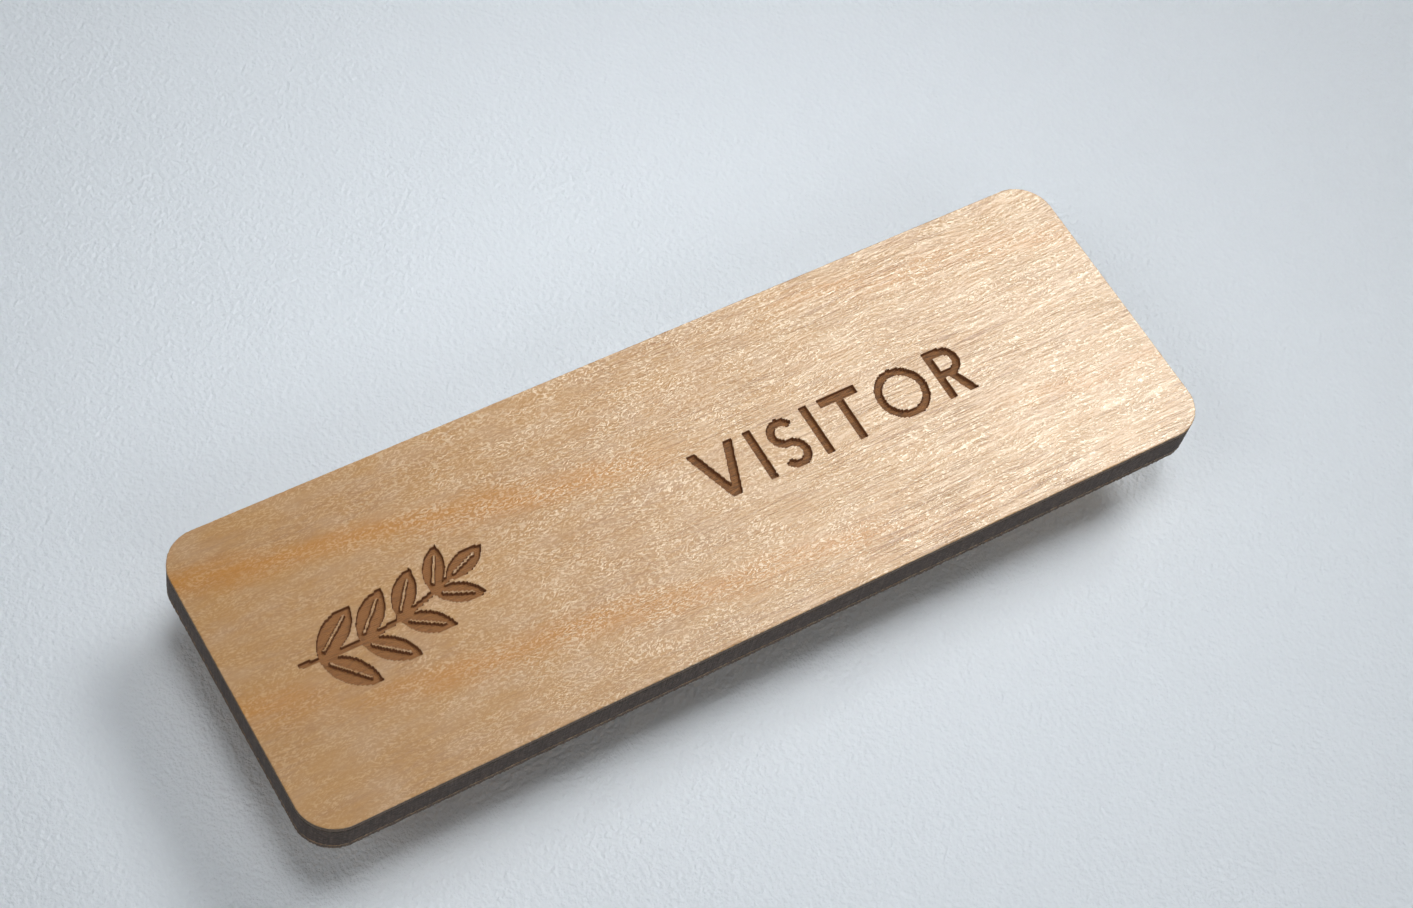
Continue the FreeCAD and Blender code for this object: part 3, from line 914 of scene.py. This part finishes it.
def lid(tree: NodeTree, rings: Node, height: Any, down: bool) -> Node:
    """Fill rings with flat faces at a height.

    Args:
        tree: Tree to add to.
        rings: Curves to fill; one inside another leaves a hole.
        height: Height of the faces.
        down: Whether they face down.

    Returns:
        The node that gives the faces.
    """
    filled = add(tree, "GeometryNodeFillCurve", {"Curve": rings})
    offset = add(tree, JOIN_XYZ, {2: height})
    faces = add(tree, "GeometryNodeSetPosition", {"Geometry": filled, "Offset": offset})
    return add(tree, "GeometryNodeFlipFaces", {"Mesh": faces}) if down else faces


def weld(tree: NodeTree, parts: list[Node], coat: NodeSocket) -> None:
    """End a tree: weld its parts into one mesh, with its material.

    Args:
        tree: Tree to end.
        parts: Nodes that give the parts.
        coat: Input that gives the material.
    """
    joined = add(tree, "GeometryNodeJoinGeometry")
    for part in parts:
        tree.links.new(part.outputs[0], joined.inputs[0])
    welded = add(tree, "GeometryNodeMergeByDistance", {"Geometry": joined, "Distance": WELD})
    real = add(tree, "GeometryNodeRealizeInstances", {"Geometry": welded})
    dressed = add(tree, "GeometryNodeSetMaterial", {"Geometry": real, "Material": coat})
    add(tree, "NodeGroupOutput", {0: dressed})


PATCH_INPUTS = {
    "Target": "Object",
    "Low": "Vector",
    "Size": "Vector",
    "Across": "Int",
    "Lines": "Int",
    "Pitch": "Float",
    "Ridge": "Float",
    "Ragged": "Float",
}
RAY_START = MM  # how far above the face a ray starts
RAY_LENGTH = 10 * MM
SUNK = 0.05 * MM  # a ray that lands deeper than this is inside the engraving
BURN_BLUR = 3  # how many points of the mesh the burn takes to fade
PIT_SIZE = (1.2 * MM, 0.25 * MM, 1.0)  # the floor's pits lie along the raster's lines


def patch_tree() -> NodeTree:
    """Make the tree of an engraved patch, cut line by line as a laser's raster is.

    Each line of the raster is sampled along its middle, so slanting and round edges step from
    line to line, and the floor keeps a small ridge between one line and the next.

    Returns:
        The tree. Its result is a sheet, flat round its border, at the height of the face. A point's
        burn is 1 well inside the engraving, and falls to 0 just outside it.
    """
    tree, given = new_tree("engraved_patch", PATCH_INPUTS)
    size = add(tree, SPLIT, {0: given["Size"]})
    low = add(tree, SPLIT, {0: given["Low"]})
    sheet = add(
        tree, "GeometryNodeMeshGrid",
        {
            "Size X": size.outputs[0], "Size Y": size.outputs[1],
            "Vertices X": given["Across"], "Vertices Y": given["Lines"],
        },
    )
    half = add(tree, VECTOR, {"Vector": given["Size"], "Scale": 0.5}, operation="SCALE")
    centre = add(tree, VECTOR, {0: given["Low"], 1: half}, operation="ADD")
    moved = add(tree, "GeometryNodeSetPosition", {"Geometry": sheet, "Offset": centre})

    # A ray falls on the CAD pockets for each point, from the middle of its line of the raster.
    here = add(tree, "GeometryNodeInputPosition")
    spot = add(tree, SPLIT, {0: here})
    rise = add(tree, MATH, {0: spot.outputs[1], 1: low.outputs[1]}, operation="SUBTRACT")
    inner = add(tree, MATH, {0: rise, 1: WELD}, operation="SUBTRACT")
    count = add(tree, MATH, {0: inner, 1: given["Pitch"]}, operation="DIVIDE")
    line = add(tree, MATH, {0: count}, operation="ROUND")
    middle = add(tree, MATH, {0: line, 1: given["Pitch"], 2: low.outputs[1]}, operation="MULTIPLY_ADD")
    draw = add(tree, "ShaderNodeTexWhiteNoise", {"W": line}, noise_dimensions="1D")
    sway = add(tree, MATH, {0: draw.outputs["Value"], 1: 0.5}, operation="SUBTRACT")
    along = add(tree, MATH, {0: sway, 1: given["Ragged"], 2: spot.outputs[0]}, operation="MULTIPLY_ADD")
    above = add(tree, MATH, {0: spot.outputs[2], 1: RAY_START}, operation="ADD")
    source = add(tree, JOIN_XYZ, {0: along, 1: middle, 2: above})
    target = add(tree, "GeometryNodeObjectInfo", {"Object": given["Target"]}, transform_space="ORIGINAL")
    ray = add(
        tree, "GeometryNodeRaycast",
        {
            "Target Geometry": target.outputs["Geometry"], "Source Position": source,
            "Ray Direction": (0, 0, -1), "Ray Length": RAY_LENGTH,
        },
    )
    hit = add(tree, SPLIT, {0: ray.outputs["Hit Position"]}).outputs[2]
    deep = add(tree, MATH, {0: spot.outputs[2], 1: hit}, operation="SUBTRACT")
    sunk = add(tree, MATH, {0: deep, 1: SUNK}, operation="GREATER_THAN")
    spread = add(
        tree, "GeometryNodeBlurAttribute", {"Value": sunk, "Iterations": BURN_BLUR}, data_type="FLOAT"
    )
    marked = add(
        tree, "GeometryNodeStoreNamedAttribute", {"Geometry": moved, "Name": BURN, "Value": spread},
        data_type="FLOAT", domain="POINT",
    )

    # The floor has a ridge between the lines and pits along them, both as high as a ridge.
    gap = add(tree, MATH, {0: given["Pitch"], 1: 0.5}, operation="MULTIPLY")
    wave = add(tree, MATH, {0: rise, 1: gap}, operation="PINGPONG")
    crest = add(tree, MATH, {0: wave, 1: gap}, operation="DIVIDE")
    scaled = add(tree, VECTOR, {0: here, 1: PIT_SIZE}, operation="DIVIDE")
    cloud = add(tree, "ShaderNodeTexNoise", {"Vector": scaled, "Scale": 1.0, "Detail": 2.0})
    pits = add(tree, MATH, {0: cloud, 1: 2.0, 2: -1.0}, operation="MULTIPLY_ADD")
    rough = add(tree, MATH, {0: crest, 1: pits}, operation="ADD")
    floor = add(tree, MATH, {0: rough, 1: given["Ridge"], 2: hit}, operation="MULTIPLY_ADD")
    sink = add(tree, MATH, {0: floor, 1: spot.outputs[2]}, operation="SUBTRACT")
    drop = add(tree, MATH, {0: sink, 1: sunk}, operation="MULTIPLY")
    down = add(tree, JOIN_XYZ, {2: drop})
    cut = add(tree, "GeometryNodeSetPosition", {"Geometry": marked, "Offset": down})
    add(tree, "NodeGroupOutput", {0: cut})
    return tree


def layer_tree(wall: NodeTree, patch: NodeTree | None = None, motifs: tuple[str, ...] = ()) -> NodeTree:
    """Make the tree of a layer: a cut wall, closed at the top and the bottom.

    Args:
        wall: Tree of the cut wall.
        patch: Tree of an engraved patch, if the layer has any.
        motifs: Name of each patch. The layer's top has a hole that the patch fills.

    Returns:
        The tree.
    """
    inputs = dict(WALL_INPUTS)
    for motif in motifs:
        inputs |= {f"{motif} {name}": kind for name, kind in PATCH_INPUTS.items()}
    tree, given = new_tree("cut_layer", inputs | {"Material": "Material"})
    sides = add(tree, "GeometryNodeGroup", {name: given[name] for name in WALL_INPUTS}, node_tree=wall)
    top = add(tree, MATH, {0: given["Base"], 1: given["Height"]}, operation="ADD")
    parts = [sides, lid(tree, ring_at(tree, sides, given["Base"]), given["Base"], down=True)]
    rings = add(tree, "GeometryNodeJoinGeometry")
    tree.links.new(ring_at(tree, sides, top).outputs[0], rings.inputs[0])
    for motif in motifs:
        links = {name: given[f"{motif} {name}"] for name in PATCH_INPUTS}
        sheet = add(tree, "GeometryNodeGroup", links, node_tree=patch)
        faces = add(tree, "GeometryNodeInputMeshEdgeNeighbors")
        lone = add(tree, "FunctionNodeCompare", {"A": faces, "B": 1}, data_type="INT", operation="EQUAL")
        border = add(tree, "GeometryNodeMeshToCurve", {"Mesh": sheet, "Selection": lone})
        tree.links.new(border.outputs[0], rings.inputs[0])
        parts.append(sheet)
    parts.append(lid(tree, rings, top, down=False))
    weld(tree, parts, given["Material"])
    return tree


# ---- the badge front ----------------------------------------------------------------------------


@dataclass
class LaserCutBoard:
    """The board's three layers, cut through together, with the engraving in the top one."""

    # A laser's scores are about 0.1 mm wide, which is too fine to show, so they are a little coarser.
    face_edge: EdgeCut = EdgeCut(
        column=0.1 * MM, row=0.05 * MM, depth=0.03 * MM,
        score_width=0.16 * MM, score_height=2.2 * MM, rounding=0.06 * MM,
    )
    core_edge: EdgeCut = EdgeCut(
        column=0.1 * MM, row=0.17 * MM, depth=0.04 * MM,
        score_width=0.16 * MM, score_height=2.2 * MM, rounding=0.05 * MM,
    )
    back_edge: EdgeCut = EdgeCut(
        column=0.1 * MM, row=0.08 * MM, depth=0.07 * MM,
        score_width=0.2 * MM, score_height=0.5 * MM, rounding=0.1 * MM,
    )

    # The raster: the pitch of its lines, the mesh's step along them, the ridge between them, and
    # how raggedly they start. Its real pitch is about 0.1 mm, drawn a little coarser so it shows.
    raster_pitch: float = 0.14 * MM
    raster_step: float = 0.07 * MM
    ridge: float = 0.02 * MM
    ragged: float = 0.03 * MM

    # A flat margin goes round each motif, and the two motifs are further apart than their parts.
    patch_margin: float = 0.42 * MM
    motif_gap: float = 5 * MM

    veneer: OiledVeneer = OiledVeneer()
    underside: OiledVeneer = OiledVeneer("sanded_back_veneer", seed=40.0, tan="b98f66", shade="a97d54")
    char: CharredBoard = CharredBoard()

    def motifs(self) -> dict[str, tuple[Vector, Vector]]:
        """Find the engraved motifs from the floor of the face's pockets.

        Returns:
            The lowest and highest corner of each motif, by its name, from left to right.
        """
        low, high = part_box(Layer.FACE.value)
        spots = [v.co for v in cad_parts[Layer.FACE.value].data.vertices]
        inner = [spot for spot in spots if low.z + NEAR < spot.z < high.z - NEAR]
        groups: list[list[Vector]] = []
        for spot in sorted(inner, key=lambda co: co.x):
            if not groups or spot.x - groups[-1][-1].x > self.motif_gap:
                groups.append([])
            groups[-1].append(spot)
        found = {}
        for name, group in zip(("Sprig", "Word"), groups, strict=True):
            heights = [spot.y for spot in group]
            start = Vector((group[0].x, min(heights), high.z))
            end = Vector((group[-1].x, max(heights), high.z))
            found[name] = (start, end)
        return found

    def patch_values(self, name: str, low: Vector, high: Vector) -> dict[str, Any]:
        """Give a motif's sizes to the patch tree.

        Args:
            name: The motif's name.
            low: Its lowest corner.
            high: Its highest corner.

        Returns:
            Value of each of the patch's inputs.
        """
        margin = Vector((self.patch_margin, self.patch_margin, 0))
        start = low - margin
        span = high + margin - start
        lines = math.ceil(span.y / self.raster_pitch)
        steps = math.ceil(span.x / self.raster_step)
        size = Vector((steps * self.raster_step, lines * self.raster_pitch, 0))
        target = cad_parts[Layer.FACE.value]
        counts = (steps + 1, 2 * lines + 1)
        values = (target, start, size, *counts, self.raster_pitch, self.ridge, self.ragged)
        return {f"{name} {label}": value for label, value in zip(PATCH_INPUTS, values)}

    def build(self) -> None:
        """Build and dress the three layers."""
        wall = wall_tree()
        motifs = self.motifs()
        values = self.face_edge.values(Layer.FACE)
        for name, (low, high) in motifs.items():
            values |= self.patch_values(name, low, high)
        values["Material"] = self.veneer.dress(Layer.FACE)
        engraved = layer_tree(wall, patch_tree(), tuple(motifs))
        mount(grown("engraved_face", engraved, values), Layer.FACE)
        plain = layer_tree(wall)
        values = self.core_edge.values(Layer.CORE) | {"Material": self.char.dress()}
        mount(grown("charred_core", plain, values), Layer.CORE)
        values = self.back_edge.values(Layer.BACK) | {"Material": self.underside.dress(Layer.BACK)}
        mount(grown("back_sheet", plain, values), Layer.BACK)


# ---- the magnetic clasp -------------------------------------------------------------------------


def coat(node: str, finish: Material) -> None:
    """Give a CAD node its material.

    Args:
        node: The CAD node.
        finish: The material.
    """
    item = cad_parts[node]
    if not item.material_slots:
        item.data.materials.append(finish)
    for place in item.material_slots:
        place.material = finish
    log.info("%s: dressed as %s", node, finish.name)


@dataclass
class MagneticClasp:
    """The carrier with its magnets, the steel bar that they grip, and the foam tape above it."""

    magnets: tuple[str, ...] = ("left_magnet", "centre_magnet", "right_magnet")
    magnet_plate: NickelPlate = NickelPlate("nickel_plated_magnet", Scatter((0.15, 0.15, 0.15), seed=1))
    bar_plate: NickelPlate = NickelPlate("nickel_plated_bar", Scatter((2.5, 0.1, 0.1), seed=1))
    plastic: MouldedPlastic = MouldedPlastic()
    foam: ClosedCellFoam = ClosedCellFoam()
    foam_edge: EdgeCut = EdgeCut(
        column=0.12 * MM, row=0.08 * MM, depth=0.09 * MM,
        score_width=0.22 * MM, score_height=0.22 * MM, rounding=0.1 * MM,
    )

    def build(self) -> None:
        """Build the tape and dress the clasp's pieces."""
        values = self.foam_edge.values(Layer.FOAM) | {"Material": self.foam.dress()}
        tape = grown("slit_foam_tape", layer_tree(wall_tree()), values)
        mount(tape, Layer.FOAM)
        plated = self.magnet_plate.dress()
        for magnet in self.magnets:
            coat(magnet, plated)
        coat("steel_bar", self.bar_plate.dress())
        coat("magnet_carrier", self.plastic.dress())


# ---- the studio ---------------------------------------------------------------------------------


@dataclass(frozen=True)
class SoftLight:
    """A soft rectangular light that points at the badge, with its sizes in metres.

    Its strength is the brightness that it gives to a white matte table right under its aim. A light
    with no diffuse part shows only in what shines.
    """

    name: str
    toward: tuple[float, float, float]
    size: tuple[float, float]
    strength: float
    diffuse: bool = True
    distance: float = 1.0

    def hang(self) -> None:
        """Hang the light."""
        toward = Vector(self.toward).normalized()
        light = bpy.data.lights.new(self.name, "AREA")
        light.shape = "RECTANGLE"
        light.size, light.size_y = self.size
        light.energy = self.strength * (math.pi * self.distance) ** 2 / toward.z
        lamp = bpy.data.objects.new(self.name, light)
        lamp.location = toward * self.distance
        lamp.rotation_euler = toward.to_track_quat("Z", "Y").to_euler()
        lamp.visible_camera = False
        lamp.visible_diffuse = self.diffuse
        bpy.context.scene.collection.objects.link(lamp)


@dataclass(frozen=True)
class PoolLight:
    """A soft pool of light that fades out across the table, from a lamp over the badge, in metres.

    Its strength is the brightness that it gives to a white matte table right under the lamp. The
    cone is in degrees.
    """

    over: tuple[float, float, float] = (0.008, 0.014, 0.30)
    strength: float = 0.68
    cone: float = 31.0
    radius: float = 0.07

    def hang(self) -> None:
        """Hang the lamp. It doesn't show in what shines, so it leaves no bright spot on the face."""
        light = bpy.data.lights.new("pool", "SPOT")
        light.spot_size = math.radians(self.cone)
        light.spot_blend = 1.0
        light.shadow_soft_size = self.radius
        light.energy = self.strength * 4 * (math.pi * self.over[2]) ** 2
        lamp = bpy.data.objects.new("pool", light)
        lamp.location = self.over
        lamp.visible_camera = False
        lamp.visible_glossy = False
        bpy.context.scene.collection.objects.link(lamp)


@dataclass
class Studio:
    """A pale table under one window, two dim reflectors, a soft pool of light and a cool sky.

    A card beside the window shows only in the wood's sheen. The sky lights the scene at one
    strength, and shows as the backdrop at another.
    """

    table: SatinTable = SatinTable()
    table_half: float = 0.6
    lights: tuple[SoftLight, ...] = (
        SoftLight("window", toward=(0.59, 0.16, 0.79), size=(0.45, 0.3), strength=0.29),
        SoftLight("left_reflector", toward=(-0.72, 0.0, 0.69), size=(0.35, 0.35), strength=0.08),
        SoftLight("front_reflector", toward=(0.0, -0.75, 0.66), size=(0.6, 0.35), strength=0.08),
        SoftLight(
            "sheen_card", toward=(0.48, 0.34, 0.81), size=(0.28, 0.28), strength=0.052, diffuse=False
        ),
    )
    pool: PoolLight = PoolLight()
    sky: str = "f0f5fa"
    sky_strength: float = 0.12
    backdrop_strength: float = 0.36

    def lay_table(self) -> None:
        """Lay the table, level with what the badge stands on."""
        h = self.table_half
        mesh = bpy.data.meshes.new("table")
        mesh.from_pydata([(-h, -h, 0), (h, -h, 0), (h, h, 0), (-h, h, 0)], [], [(0, 1, 2, 3)])
        mesh.materials.append(self.table.dress())
        table = bpy.data.objects.new("table", mesh)
        bpy.context.scene.collection.objects.link(table)

    def raise_sky(self) -> None:
        """Put up the sky and the backdrop."""
        world = bpy.data.worlds.new("studio")
        world.use_nodes = True
        tree = world.node_tree
        tree.nodes.clear()
        seen = add(tree, "ShaderNodeLightPath").outputs["Is Camera Ray"]
        links = {"Value": seen, "To Min": self.sky_strength, "To Max": self.backdrop_strength}
        power = add(tree, RANGE, links)
        glow = add(tree, "ShaderNodeBackground", {"Color": linear(self.sky), "Strength": power})
        add(tree, "ShaderNodeOutputWorld", {"Surface": glow})
        bpy.context.scene.world = world

    def build(self) -> None:
        """Lay the table and light it."""
        self.lay_table()
        for light in self.lights:
            light.hang()
        self.pool.hang()
        self.raise_sky()
        bpy.context.scene.view_settings.view_transform = "Standard"
        log.info("studio: table, %d soft lights, pool and sky", len(self.lights))


@dataclass
class BadgeCamera:
    """A close camera that looks down over the badge's lower left corner, rolled to the right.

    The lens and the sensor are in millimetres, the angles in degrees, and the rest in metres. The
    aim is a place on the badge's face.
    """

    lens: float = 71.45
    sensor: float = 36.0
    azimuth: float = -45.0
    elevation: float = 57.9
    roll: float = 16.5
    distance: float = 205.8 * MM
    aim: tuple[float, float] = (1.2 * MM, 1.9 * MM)

    def build(self) -> None:
        """Set up the camera."""
        turn, rise = math.radians(self.azimuth), math.radians(self.elevation)
        back = Vector((math.sin(turn) * math.cos(rise), -math.cos(turn) * math.cos(rise), math.sin(rise)))
        level = Vector((math.cos(turn), math.sin(turn), 0))
        upright = back.cross(level)
        tilt = math.radians(self.roll)
        right = level * math.cos(tilt) + upright * math.sin(tilt)
        up = back.cross(right)
        aim = Vector((*self.aim, CAD_BOX[1][2]))
        place = Matrix((right, up, back)).transposed().to_4x4()
        place.translation = aim + back * self.distance
        lens = bpy.data.cameras.new("badge_camera")
        lens.lens = self.lens
        lens.sensor_width = self.sensor
        lens.clip_start = MM
        camera = bpy.data.objects.new("badge_camera", lens)
        camera.matrix_world = place
        bpy.context.scene.collection.objects.link(camera)
        bpy.context.scene.camera = camera
        log.info("camera: %.1f mm lens, %.0f mm away", self.lens, self.distance / MM)


def main() -> None:
    """Build the scene, piece by piece."""
    logging.basicConfig(level=logging.INFO, format="%(name)s: %(message)s")
    BadgeCamera().build()
    Studio().build()
    LaserCutBoard().build()
    MagneticClasp().build()


if __name__ == "__main__":
    main()
